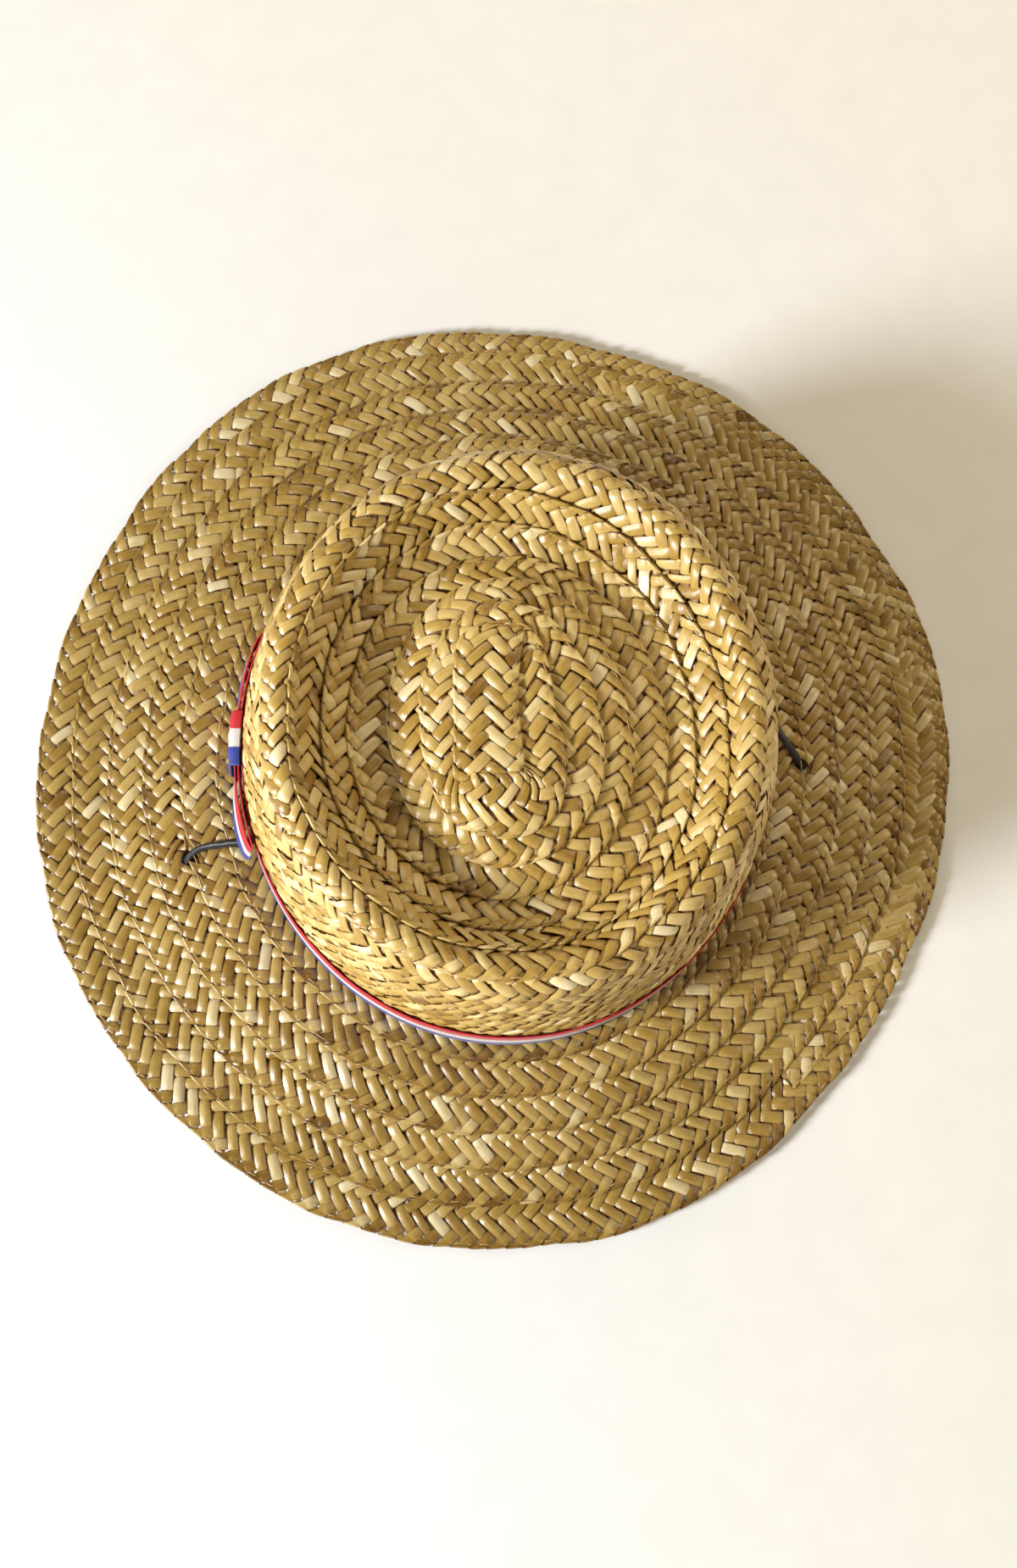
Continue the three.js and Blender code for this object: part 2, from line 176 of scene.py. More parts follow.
# ------------------------------------------------------------------ chin cord
CORD_D = 2.6
CORD_ON = CORD_D / 2 + 0.1
CORD = [
    ("brim", -88.9, -30.5), ("brim", -94.5, -31.0), ("brim", -100.2, -31.7),
    ("brim", -105.3, -32.5), (8.1, -109.4, -34.2), (4.9, -112.2, -37.4), (2.2, -113.7, -42.2),
    ("floor", -113.2, -49.4), ("floor", -109.0, -57.4), ("floor", -100.0, -64.4),
    ("floor", -86.0, -68.4), ("floor", -70.0, -66.0), ("floor", -57.0, -56.0),
    ("floor", -49.0, -40.0), ("floor", -45.0, -20.0), ("floor", -43.0, 2.0),
    ("floor", -38.0, 24.0), ("floor", -28.0, 43.0), ("floor", -11.0, 54.0),
    ("floor", 8.0, 53.5), ("floor", 22.5, 42.5), ("floor", 29.5, 25.0), ("floor", 31.0, 5.0),
    ("floor", 34.0, -16.0), ("floor", 42.0, -35.0), ("floor", 56.5, -48.0),
    ("floor", 74.0, -51.5), ("floor", 90.5, -45.5), ("floor", 103.0, -34.0),
    ("floor", 109.2, -21.0), ("floor", 110.6, -13.5), (2.3, 110.0, -7.0), (5.1, 108.7, -2.2),
    (8.2, 106.6, 2.2), ("brim", 103.5, 6.2), ("brim", 100.0, 11.2), ("brim", 96.6, 16.4),
    ("brim", 92.5, 20.2)]


def cord_points():
    p = np.array([(x, y, CORD_ON if on == "floor" else float(brim_top(x, y)) + CORD_ON + 0.2
                   if on == "brim" else on) for on, x, y in CORD])
    q = np.vstack([2 * p[0] - p[1], p, 2 * p[-1] - p[-2]])
    out = []
    for i in range(len(p) - 1):
        a, b, c, d = q[i:i + 4]
        t = [0.0]
        for u, v in ((a, b), (b, c), (c, d)):
            t.append(t[-1] + max(np.linalg.norm(v - u) ** 0.5, 1e-6))
        for s in np.linspace(t[1], t[2], 12, endpoint=False):
            a1 = (t[1] - s) / (t[1] - t[0]) * a + (s - t[0]) / (t[1] - t[0]) * b
            a2 = (t[2] - s) / (t[2] - t[1]) * b + (s - t[1]) / (t[2] - t[1]) * c
            a3 = (t[3] - s) / (t[3] - t[2]) * c + (s - t[2]) / (t[3] - t[2]) * d
            b1 = (t[2] - s) / (t[2] - t[0]) * a1 + (s - t[0]) / (t[2] - t[0]) * a2
            b2 = (t[3] - s) / (t[3] - t[1]) * a2 + (s - t[1]) / (t[3] - t[1]) * a3
            out.append((t[2] - s) / (t[2] - t[1]) * b1 + (s - t[1]) / (t[2] - t[1]) * b2)
    out.append(p[-1])
    return np.array(out)


line = cord_points()
run = np.concatenate([[0], np.cumsum(np.linalg.norm(np.diff(line, axis=0), axis=1))])
CORD_LONG = float(run[-1])
at = np.linspace(0, CORD_LONG, 760)
line = np.stack([np.interp(at, run, line[:, k]) for k in range(3)], -1)
way = np.gradient(line, axis=0)
way /= np.linalg.norm(way, axis=1, keepdims=True)
side = np.cross(way, [0, 0, 1.0])
side /= np.linalg.norm(side, axis=1, keepdims=True)
over = np.cross(side, way)
COLS = 18
ang = np.arange(COLS) / COLS * 2 * np.pi
lay = ang[None, :] + at[:, None] / 5.2 * 2 * np.pi / 3      # three plies, twisted
rad = 1.3 * (0.90 + 0.10 * np.abs(np.cos(1.5 * lay)) ** 0.8)
tube = (line[:, None] + rad[..., None] * (np.cos(ang)[None, :, None] * side[:, None]
                                         + np.sin(ang)[None, :, None] * over[:, None]))
v = np.vstack([tube.reshape(-1, 3), line[:1], line[-1:]])
n = len(line) * COLS
quads = grid_quads(len(line), COLS, close_cols=True)
caps = []
for j in range(0, COLS, 2):
    caps.append([n, (j + 2) % COLS, j + 1, j])
    b = (len(line) - 1) * COLS
    caps.append([n + 1, b + j, b + j + 1, b + (j + 2) % COLS])
quads = np.vstack([quads[:, ::-1], np.array(caps)])
uv = np.stack([np.repeat(at, COLS), np.tile(np.arange(COLS) / COLS, len(line))], -1)
uv = np.vstack([uv, [[0, .5], [CORD_LONG, .5]]])
chin_cord = mesh_object("cord_chin", v, quads, uv)
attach(chin_cord, "root")
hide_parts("chin_cord")

# where the cord passes down between the brim's straws
CORD_GAPS = [(-110.4, -35.2), (107.7, 0.2)]

# ------------------------------------------------------------------ the plait's rows
WIDE = 21.0          # the plait's width, seven straws
PITCH = 6.1          # between neighbouring straws, along the plait
LEG = 3.5 * PITCH    # a straw's way across, measured along the plait


class Rows:
    """A long plait laid on a surface: where a place s along it and t in from its outer edge lies."""

    def __init__(self, outer, inner, height, surface, step=1.0):
        place, normal = surface(outer, inner, np.linspace(0, 1, 15))
        mid = place[:, 3]
        s = np.concatenate([[0], np.cumsum(np.linalg.norm(np.diff(mid, axis=0), axis=1))])
        self.long = float(s[-1])
        n = int(self.long / step) + 1
        q = np.linspace(0, self.long, n)
        self.step = self.long / (n - 1)
        pick = lambda a: np.stack([np.interp(q, s, a[:, j, k]) for j in range(15)
                                   for k in range(3)], -1).reshape(n, 15, 3)
        self.place, self.normal = pick(place), pick(normal)
        self.normal /= np.linalg.norm(self.normal, axis=-1, keepdims=True)
        self.height = np.stack([np.interp(q, s, height[:, j]) for j in range(15)], -1)
        self.s_of = lambda index: float(np.interp(index, np.arange(len(s)), s))

    def at(self, s, t, up):
        i = np.clip(s / self.step, 0, len(self.place) - 1.001)
        j = np.clip(t / WIDE * 14, -0.3, 14.3)
        i0 = np.floor(i).astype(int)
        j0 = np.clip(np.floor(j).astype(int), 0, 13)
        a, b = (i - i0)[..., None], (j - j0)[..., None]
        mix = lambda g: ((1 - a) * (1 - b) * g[i0, j0] + a * (1 - b) * g[i0 + 1, j0]
                         + (1 - a) * b * g[i0, j0 + 1] + a * b * g[i0 + 1, j0 + 1])
        h = mix(self.height[..., None])[..., 0] + up
        nrm = mix(self.normal)
        nrm /= np.linalg.norm(nrm, axis=-1, keepdims=True)
        return mix(self.place) + nrm * h[..., None]


# ---- crown
arc = np.concatenate([[0], np.cumsum(np.hypot(np.diff(CROWN[:, :2].mean(1)), np.diff(CROWN[:, 2])))])
fine = np.linspace(0, arc[-1], 3000)
prof = knots(arc, CROWN, fine)
prof[:, :2] = np.maximum(prof[:, :2], 0)
slope = np.gradient(prof, fine, axis=0)
grow = np.ones_like(fine)
grow[1:] = fine[1:] / prof[1:, :2].mean(1)
grow[0] = grow[1]
FLAT_A, FLAT_B = prof[:, 0] * grow, prof[:, 1] * grow


def crown_flat(m, a):
    """The rolled-out place of the spot m along the profile, at the oval's angle a."""
    return np.stack([np.interp(m, fine, FLAT_A) * np.cos(a), np.interp(m, fine, FLAT_B) * np.sin(a)], -1)


def crown_surface(outer, inner, k):
    """Mid-surface places and normals for rolled-out points between outer and inner."""
    p = outer[:, None] + (inner - outer)[:, None] * k[None, :, None]
    low, high = np.zeros(p.shape[:2]), np.full(p.shape[:2], arc[-1])
    for _ in range(26):
        mid = (low + high) / 2
        f = ((p[..., 0] / np.maximum(np.interp(mid, fine, FLAT_A), 1e-6)) ** 2
             + (p[..., 1] / np.maximum(np.interp(mid, fine, FLAT_B), 1e-6)) ** 2)
        low, high = np.where(f > 1, mid, low), np.where(f > 1, high, mid)
    m = (low + high) / 2
    w, l, z, q = (np.interp(m, fine, prof[:, c]) for c in range(4))
    dw, dl, dz, dq = (np.interp(m, fine, slope[:, c]) for c in range(4))
    a = np.arctan2(p[..., 1] / np.maximum(np.interp(m, fine, FLAT_B), 1e-6),
                   p[..., 0] / np.maximum(np.interp(m, fine, FLAT_A), 1e-6))
    ca, sa = np.cos(a), np.sin(a)
    n = np.cross(np.stack([dw * ca, dl * sa, dz + dq * ca], -1), np.stack([-w * sa, l * ca, -q * sa], -1))
    n[m < 2] = (0, 0, 1)
    n /= np.linalg.norm(n, axis=-1, keepdims=True)
    return np.stack([w * ca, l * sa, z + q * ca], -1) - n * STRAW / 2, n


# The start strip, outer edge then inner edge, from its raw end up to where it turns.
STRIP = np.array([
    (-20.6, -27.9, 3.1, -27.2), (-20.6, -23.4, 2.6, -22.7), (-20.6, -19.1, 2.3, -17.9),
    (-20.5, -10.5, 1.4, -9.4), (-20.5, -4.5, 0.9, -4.5), (-20.8, 6.4, 0.1, 5.5),
    (-20.7, 14.6, 0.3, 13.5), (-20.2, 21.7, 1.2, 20.6), (-18.6, 26.1, 1.8, 25.0),
    (-14.6, 29.0, 2.2, 28.2), (-9.0, 31.0, 2.4, 31.0)])
# The first turn: round the strip's top, down its right side and back below its raw end.
START = np.array([
    (-19.6, 8.0, -8.0, 8.0), (-19.9, 15.0, -7.0, 11.0), (-19.4, 21.7, -6.0, 13.0),
    (-18.2, 26.1, -5.4, 14.6), (-16.0, 29.0, -5.0, 15.4), (-12.0, 30.9, -4.8, 15.8),
    (-5.8, 31.6, -4.8, 15.8), (-0.3, 31.0, -5.0, 15.4), (4.0, 28.2, -5.6, 14.2),
    (6.7, 24.8, -6.4, 12.0), (8.9, 19.8, -7.2, 8.8), (10.7, 11.4, -7.8, 5.6),
    (11.5, 5.2, -8.2, 2.0), (12.3, 0.5, -8.2, -1.4), (13.9, -4.1, -7.2, -5.7),
    (15.5, -9.6, -6.1, -11.1), (16.3, -16.4, -3.6, -14.9), (15.5, -24.2, 0.1, -17.1),
    (12.5, -32.2, 2.0, -18.1), (5.1, -37.9, 0.6, -18.7), (-3.5, -39.6, -3.6, -19.0),
    (-12.2, -38.9, -9.8, -19.3), (-20.7, -35.4, -14.8, -18.2), (-25.9, -28.0, -13.3, -12.8)])
# Outer edges of the next turns, as distances along the profile, every twelfth of a turn
# clockwise from the left; the first entry is at 1.0 turns less one twelfth.
SEAM_FROM = 11 / 12
SEAM = [37.2, 36.8, 37.1, 37.4, 33.7, 30.4, 30.2, 32.3, 36.4, 40.6, 44.8, 47.3, 47.5, 47.4,
        48.0, 47.9, 44.3, 40.5, 40.2, 42.5, 47.0, 51.8, 55.7, 58.3, 59.5, 59.9, 59.1, 57.0, 54.1,
        52.4, 52.8, 54.1, 58.7, 64.0, 67.9, 69.6, 69.5, 69.1, 68.5, 67.4, 65.2, 62.4, 61.9, 63.5,
        68.3, 73.9, 79.0, 81.7, 83.7, 83.6, 82.4, 80.8, 77.5, 73.5, 72.6, 75.1, 81.4, 86.3, 89.7,
        91.7, 93.3, 94.3, 93.7, 92.7, 90.9, 89.1, 88.1, 88.9, 93.3, 97.7, 100.5, 102.7, 104.3]
SEAM_ON = [(7.0, 105.2), (7.25, 102.5), (7.5, 101.3), (7.75, 110.5), (8.0, 114.9), (8.25, 113.5),
           (8.5, 112.9), (8.75, 120.5), (9.0, 124.7), (9.25, 124.5), (9.5, 124.7), (9.75, 130.9),
           (10.0, 134.7), (10.25, 135.3), (10.5, 136.5), (10.75, 141.3), (11.0, 145.1), (11.25, 146.6),
           (11.5, 148.3), (11.75, 151.9), (12.0, 155.3), (12.25, 157.6), (12.5, 160.1), (12.75, 163.1),
           (13.0, 165.3), (13.2, 166.1), (13.5, 166.2), (13.8, 166.2), (14.0, 165.1), (14.1, 160.8)]
seam = ([(SEAM_FROM + i / 12, m) for i, m in enumerate(SEAM)][:-1] + SEAM_ON)
seam = np.array(seam)
turns = np.arange(seam[0, 0], seam[-1, 0], 1 / 240)
edge = crown_flat(knots(seam[:, 0], seam[:, 1], turns), np.pi - 2 * np.pi * turns)
heart = np.stack([np.full(len(edge), -2.0), np.clip(edge[:, 1], -14, 12)], -1)
inward = heart - edge
inward /= np.linalg.norm(inward, axis=1, keepdims=True)
back = edge + WIDE * inward
join = 6
chord = np.concatenate([[0], np.cumsum(np.linalg.norm(np.diff(
    np.vstack([START, np.hstack([edge[join], back[join]])])[:, :2], axis=0), axis=1)
    + 0.35 * np.linalg.norm(np.diff(np.vstack([START, np.hstack([edge[join], back[join]])])[:, 2:],
                                    axis=0), axis=1))])
q = np.arange(0, chord[-1], 0.4)
head = knots(chord, np.vstack([START, np.hstack([edge[join], back[join]])]), q)
outer = np.vstack([head[:, :2], edge[join:]])
inner = np.vstack([head[:, 2:], back[join:]])
# The row's stand off the middle of the wall: its outer edge lies on the next row.
k15 = np.linspace(0, 1, 15)
TOP, FALL = 1.2, 2.4
index_at = lambda row: float(np.interp(row, np.arange(len(chord)), chord)) / 0.4
progress = np.arange(len(outer), dtype=float)
bottom = smooth(index_at(15.9), index_at(17.3), progress) * (1 - smooth(
    index_at(21.4), index_at(23.0), progress))                             # over the raw end
height = TOP - FALL * (1 - bottom)[:, None] * k15[None, :]
under_strip = 1 - smooth(index_at(8.0), index_at(10.0), progress)
height -= (1.1 * under_strip)[:, None] * smooth(0.03, 0.14, k15)[None, :]
height -= (1.5 * (1 - smooth(index_at(1.6), index_at(3.4), progress)))[:, None]
crown_rows = Rows(outer, inner, height, crown_surface)
chord0 = np.concatenate([[0], np.cumsum(np.linalg.norm(np.diff(STRIP[:, :2], axis=0), axis=1))])
q0 = np.arange(0, chord0[-1], 0.4)
strip = knots(chord0, STRIP, q0)
height = np.full((len(q0), 15), TOP + 0.15) - 0.25 * k15[None, :]
height -= 3.6 * (1 - smooth(2.5, 9.6, q0))[:, None]
height -= 1.6 * smooth(chord0[-1] - 5.5, chord0[-1] - 0.5, q0)[:, None]
strip_rows = Rows(strip[:, :2], strip[:, 2:], height, crown_surface)

# ---- brim
foot_of = lambda a: 1 / np.hypot(np.cos(a) / FOOT[0], np.sin(a) / FOOT[1])
BRIM_UP = 0.72


def brim_surface(outer, inner, k):
    """outer and inner hold the angle and the distance out from the crown's foot as a share."""
    q = outer[:, None] + (inner - outer)[:, None] * k[None, :, None]

    def place(a, f):
        foot, edge = foot_of(a), outline_radius(a)
        r = foot + (edge - foot) * f
        z = brim_under(f) + STRAW / 2 + BRIM_UP
        inn = np.maximum(-(r - foot), 0)                  # how far inside the foot
        bend = 3.6
        up = np.maximum(inn - bend, 0)
        r2 = np.where(inn > 0, foot - bend * np.tanh(inn / bend) - 0.05 * up, r)
        z2 = z + np.where(inn > 0, np.sqrt(up * up + 0.6) - 0.77 + 0.12 * inn, 0)
        return np.stack([r2 * np.cos(a), r2 * np.sin(a), z2], -1)

    p = place(q[..., 0], q[..., 1])
    da = place(q[..., 0] + 1e-3, q[..., 1]) - p
    df = place(q[..., 0], q[..., 1] + 2e-3) - p
    n = np.cross(df, da)
    n /= np.linalg.norm(n, axis=-1, keepdims=True)
    return p, n


# Outer edge of the brim's rows as a share of the way out, against turns before the end.
BRIM_SEAM = np.array([
    (-5.55, 0.030), (-5.2, 0.062), (-4.722, 0.128), (-3.722, 0.300), (-2.722, 0.474), (-1.722, 0.648),
    (-1.2, 0.738), (-0.722, 0.823), (-0.45, 0.872), (-0.25, 0.918), (-0.16, 0.942), (-0.05, 0.984),
    (0.02, 1.0), (0.3, 1.0), (0.6, 1.0), (0.835, 1.0), (0.865, 0.985), (0.93, 0.962), (1.0, 0.915),
    (1.04, 0.87)])
turns = np.arange(BRIM_SEAM[0, 0], BRIM_SEAM[-1, 0], 1 / 240)
share = np.clip(knots(BRIM_SEAM[:, 0], BRIM_SEAM[:, 1], turns), 0, 1)
angle = np.radians(325.0) - 2 * np.pi * turns
reach = outline_radius(angle) - foot_of(angle)
width = np.minimum(WIDE, 13.5 + np.maximum(share * reach, 0) * 0.9)
back = share - width / reach
outer, inner = np.stack([angle, share], -1), np.stack([angle, back], -1)
height = 1.05 - 2.1 * k15[None, :] + 0 * share[:, None]
brim_rows = Rows(outer, inner, height, brim_surface)

# ------------------------------------------------------------------ straws
XI = np.array([0, .1, .25, .45, .8, 1.34, 1.5, 1.66, 2.0, 2.5, 3.0, 3.34, 3.5, 3.66, 4.1, 4.9,
               5.34, 5.5, 5.66, 6.0, 6.3, 6.55, 6.75, 6.9, 7.0])
ACROSS = np.array([0, .3, .7, 1.0])


def part_round(P, spot, room=2.3, reach=7.5):
    """Parts the straws sideways round an upright line at spot, as an awl does."""
    mid = P[:, :, 1:3].mean(2)[..., :2]
    way = np.gradient(mid, axis=1)
    way /= np.maximum(np.linalg.norm(way, axis=-1, keepdims=True), 1e-9)
    nrm = np.stack([-way[..., 1], way[..., 0]], -1)
    from_spot = mid - np.array(spot)
    nearest = np.argmin(np.linalg.norm(from_spot, axis=-1), axis=1)
    rows_at = np.arange(len(P))
    hand = np.sign((from_spot[rows_at, nearest] * nrm[rows_at, nearest]).sum(-1))
    hand[hand == 0] = 1
    along = np.abs((from_spot * way).sum(-1))
    v = P[..., :2] - np.array(spot)
    off = (v * nrm[:, :, None]).sum(-1)
    part = (1 - smooth(1.6, 6.5, along))[:, :, None] * (np.abs((from_spot * nrm).sum(-1)) < reach)[:, :, None]
    move = (hand[:, None, None] * room - off * room / reach) * part
    P = P.copy()
    P[..., :2] += nrm[:, :, None] * move[..., None]
    return P


def straws(rows, name, cuts, seed, rise=0.36, waver=1.0, tint=0.02, kin=0.30, odds=0.42,
           pale=0.06, painted_row_shade=0.0, loose=1.0, gaps=()):
    """The plait's straws as closed strips; cuts are places along the plait where pieces part."""
    rng = np.random.default_rng(seed)
    legs = []
    first, last = int(-4), int(rows.long / PITCH) + 4
    k = np.arange(first, last)
    strand = rng.random((7, int(rows.long / 130) + 8))      # a straw's own shade, spliced now and then
    offset = rng.random(7) * 130

    def shade_of(s0, which):
        j = which % 7
        return strand[j, np.clip(((s0 + offset[j] + 60) / 130).astype(int), 0, strand.shape[1] - 1)]

    wave = np.concatenate([np.array([0.26, 0.30, 0.14]) * waver, rng.random(3) * 6.28])
    made = {}
    for kind in (0, 1):
        s0 = k * PITCH + (0.5 * PITCH if kind else 0)
        n = len(s0)
        xi = XI if kind == 0 else 7 - XI
        u = XI / 7
        x = WIDE * (u if kind == 0 else 1 - u)              # from the inner edge
        wide = 4.12 * (1 - 0.15 * loose * rng.random(n) ** 1.6)
        narrow = rng.random(n) < 0.05
        wide = np.where(narrow, wide * (0.74 + 0.16 * rng.random(n)), wide)
        slide = rng.normal(0, 0.24 * loose, n)
        drift = rng.normal(0, 0.22 * loose, n)
        roll = rng.normal(0, 0.075 * loose, n)
        lift = rng.normal(0, 0.05, n)
        arch = 0.38 + 0.26 * rng.random(n)
        puff = 0.20 + 0.42 * rng.random(n)
        # over or under, read across from the inner edge
        c = xi
        step = lambda at: np.tanh((c - at) / 0.115)
        z = (-1 + (step(1.5) + 1) - (step(3.5) + 1) + (step(5.5) + 1)) if kind == 0 else \
            (1 - (step(1.5) + 1) + (step(3.5) + 1) - (step(5.5) + 1))
        hem = np.minimum(c, 7 - c)                          # 0 at either edge
        ridge = np.interp(hem, [0, .1, .25, .45, .7, 1.0], [0, .95, 1.05, .15, .75, 1.0])
        z = z * ridge
        if kind == 0:
            bulge = np.clip(np.sin(np.pi * (c - 1.5) / 2), 0, 1) * ((c > 1.5) & (c < 3.5)) \
                + 0.9 * np.clip(np.sin(np.pi * (c - 5.5) / 1.7), 0, 1) * (c > 5.5)
        else:
            bulge = np.clip(np.sin(np.pi * (c - 3.5) / 2), 0, 1) * ((c > 3.5) & (c < 5.5)) \
                + 0.9 * np.clip(np.sin(np.pi * (1.5 - c) / 1.7), 0, 1) * (c < 1.5)
        # centre line
        s = s0[:, None] + LEG * u[None, :] + slide[:, None] * np.sin(np.pi * u)[None, :] \
            + drift[:, None] * np.sin(2 * np.pi * u)[None, :]
        # a section lies square to the straw, and along the edge where the straw folds
        square = np.array([WIDE, -LEG]) / math.hypot(WIDE, LEG) if kind == 0 else \
            np.array([WIDE, LEG]) / math.hypot(WIDE, LEG)
        turn_in = 1 - smooth(0.22, 0.72, hem)
        diag = np.array([math.hypot(WIDE, LEG) / WIDE, 0.0])
        o = (1 - turn_in)[:, None] * square[None] + turn_in[:, None] * diag[None]
        o = o * np.interp(hem, [0, .1, .25, .45, .7], [1.0, 1.04, 0.96, 0.74, 1.0])[:, None]
        rope = 1 - smooth(0.2, 0.5, hem)                    # the folds lie over each other like a rope
        v01 = ACROSS - 0.5
        S = s[:, :, None] + wide[:, None, None] * o[None, :, 0, None] * v01[None, None]
        X = x[None, :, None] + wide[:, None, None] * o[None, :, 1, None] * v01[None, None]
        outside = np.where(c > 3.5, 1.0, -1.0)
        X = X + (0.22 * rope * outside)[None, :, None] * v01[None, None]
        body = np.where((c > 6.3) | (c < 0.7), 0.75, 1.0)
        hump = np.array([0, 1.0, 1.0, 0])[None, None, :] * (arch[:, None] * body[None])[:, :, None]
        Z = (rise * z[None, :] + puff[:, None] * bulge[None, :] * 0.8 + lift[:, None])[:, :, None] \
            + (roll[:, None, None] * wide[:, None, None] * v01[None, None]
               * (np.abs(z) ** 0.5)[None, :, None]) + hump - 0.17
        Z = Z + (0.20 * rope)[None, :, None] * v01[None, None]
        keep = (s0 + LEG > 0) & (s0 < rows.long)
        S, X, Z = S[keep], X[keep], Z[keep]
        S = np.clip(S, 0, rows.long)
        T = WIDE - X
        T = T + (wave[0] * np.sin(S / 5.3 + wave[3]) + wave[1] * np.sin(S / 9.1 + wave[4])
                 + wave[2] * np.sin(S / 2.9 + wave[5])) * (1 - np.clip(T / WIDE, 0, 1))
        P = rows.at(S, T, Z)
        for spot in gaps:
            P = part_round(P, spot)
        m = keep.sum()
        which = (2 * k + kind)[keep]
        base_tone = shade_of(s0[keep], k[keep] if kind == 0 else k[keep] + 3)
        tone = np.clip(0.5 + kin * (base_tone - 0.5) + odds * (rng.random(m) - 0.5) + tint, 0.1, 0.9)
        odd = rng.random(m)
        tone = np.where(odd < pale, 0.82 + 0.16 * rng.random(m), tone)
        tone = np.where(odd > 0.99, 0.06 + 0.10 * rng.random(m), tone)
        seeds = rng.random(m)
        along = (u * math.hypot(WIDE, LEG))
        uvu = along[None, :, None] + 37.0 * seeds[:, None, None] + 0 * S
        uvv = (v01 + .5)[None, None, :] + 0 * S
        # how far the straw dips under its neighbour, kept only so that the material can paint shade there
        under = np.clip((-z + 0.1) / 1.1, 0, 1)
        made[kind] = dict(P=P, T=T, s=s0[keep], tone=tone, seed=seeds, u=uvu, v=uvv, under=under)
    # parts
    cuts = [-1e9, *cuts, 1e9]
    out = []
    ns, na = len(XI), len(ACROSS)
    one = grid_quads(ns, na)
    bottom = np.stack([np.arange(ns - 1) * na + na - 1, np.arange(1, ns) * na + na - 1,
                       np.arange(1, ns) * na, np.arange(ns - 1) * na], -1)
    caps = np.array([[0, 1, 2, 3], [(ns - 1) * na + 3, (ns - 1) * na + 2, (ns - 1) * na + 1,
                                    (ns - 1) * na]])
    leg_quads = np.vstack([one, bottom, caps])
    sharp_one = np.tile([1, 0, 0, 2], ns)
    for part in range(len(cuts) - 1):
        V, Q, U, T3, SH, base = [], [], [], [], [], 0
        for kind in (0, 1):
            d = made[kind]
            sel = (d["s"] >= cuts[part]) & (d["s"] < cuts[part + 1])
            P = d["P"][sel]
            n = len(P)
            if not n:
                continue
            V.append(P.reshape(-1, 3))
            U.append(np.stack([d["u"][sel], d["v"][sel]], -1).reshape(-1, 2))
            t = np.empty((n, ns, na, 4))
            T = d["T"][sel]              # painted light and shade: a row is made paler along its middle and darker at its two seams, where the lap's shadow falls
            t[..., 0] = d["tone"][sel][:, None, None] + painted_row_shade * (
                smooth(0, 0.24 * WIDE, T) * (1 - smooth(0.74 * WIDE, 0.96 * WIDE, T)) - 0.75)
            # the second channel says how open the straw lies; the material paints shade where it lies low
            t[..., 1] = 1 - d["under"][None, :, None]
            t[..., 2] = d["seed"][sel][:, None, None]
            t[..., 3] = 1
            T3.append(t.reshape(-1, 4))
            qd = (leg_quads[None] + (np.arange(n) * ns * na)[:, None, None])
            if kind == 0:
                qd = qd[..., ::-1]
            Q.append(qd.reshape(-1, 4) + base)
            SH.append(np.tile(sharp_one, n))
            base += n * ns * na
        ob = mesh_object(name[part], np.vstack(V), np.vstack(Q), np.vstack(U), np.vstack(T3),
                         sharp=np.concatenate(SH))
        out.append(ob)
        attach(ob, "root")
    return out


crown_parts = straws(crown_rows, ["crown_plait_top", "crown_plait_side", "crown_plait_foot"],
                     [crown_rows.long * 0.36, crown_rows.long * 0.68], 11, painted_row_shade=0.08, loose=1.5)
crown_parts += straws(strip_rows, ["crown_plait_start"], [], 31, waver=0.3, loose=1.3)
brim_parts = straws(brim_rows, ["brim_plait_inner", "brim_plait_outer"],
                    [brim_rows.long * 0.52], 23, rise=0.30, tint=-0.07, kin=0.18, odds=0.36,
                    pale=0.09, painted_row_shade=0.22,
                    gaps=CORD_GAPS)


def sewing(rows, name, gap):
    """The seam's thread: short stitches in the groove beside the row's folded edge."""
    s = np.linspace(3, rows.long - 3, int(rows.long / 1.15))
    rng = np.random.default_rng(gap)
    at = s / 7.4 + 0.10 * np.sin(s / 23.0 + 1.0)
    phase = at - np.floor(at)
    seen = smooth(0.0, 0.13, phase) * (1 - smooth(0.52, 0.66, phase))
    depth = rng.normal(0, 0.10, int(at.max()) + 2)[np.floor(at).astype(int)]
    sway = rng.normal(0, 0.16, int(at.max()) + 2)[np.floor(at).astype(int)]
    up = -0.62 + (1.04 + depth) * seen
    t = 1.42 + (0.5 - phase) * 0.5 + sway
    mid = rows.at(s, t, up)
    out = rows.at(s, t, up + 0.3) - mid
    way = np.gradient(mid, axis=0)
    way /= np.linalg.norm(way, axis=1, keepdims=True)
    side = np.cross(way, out)
    side /= np.linalg.norm(side, axis=1, keepdims=True)
    out = np.cross(side, way)
    a = np.arange(6) / 6 * 2 * np.pi
    tube = mid[:, None] + 0.16 * (np.cos(a)[None, :, None] * side[:, None]
                                  + np.sin(a)[None, :, None] * out[:, None])
    e = (len(s) - 1) * 6
    quads = np.vstack([grid_quads(len(s), 6, close_cols=True)[:, ::-1],
                       [[3, 2, 1, 0], [5, 4, 3, 0], [e, e + 1, e + 2, e + 3], [e, e + 3, e + 4, e + 5]]])
    uv = np.stack([np.repeat(s, 6), np.tile(np.arange(6) / 6, len(s))], -1)
    ob = mesh_object(name, tube.reshape(-1, 3), quads, uv)
    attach(ob, "root")
    return ob


threads = [sewing(crown_rows, "crown_thread", 41), sewing(brim_rows, "brim_thread", 43)]
for ob in crown_parts:
    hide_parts("crown")
for ob in brim_parts:
    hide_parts("brim")


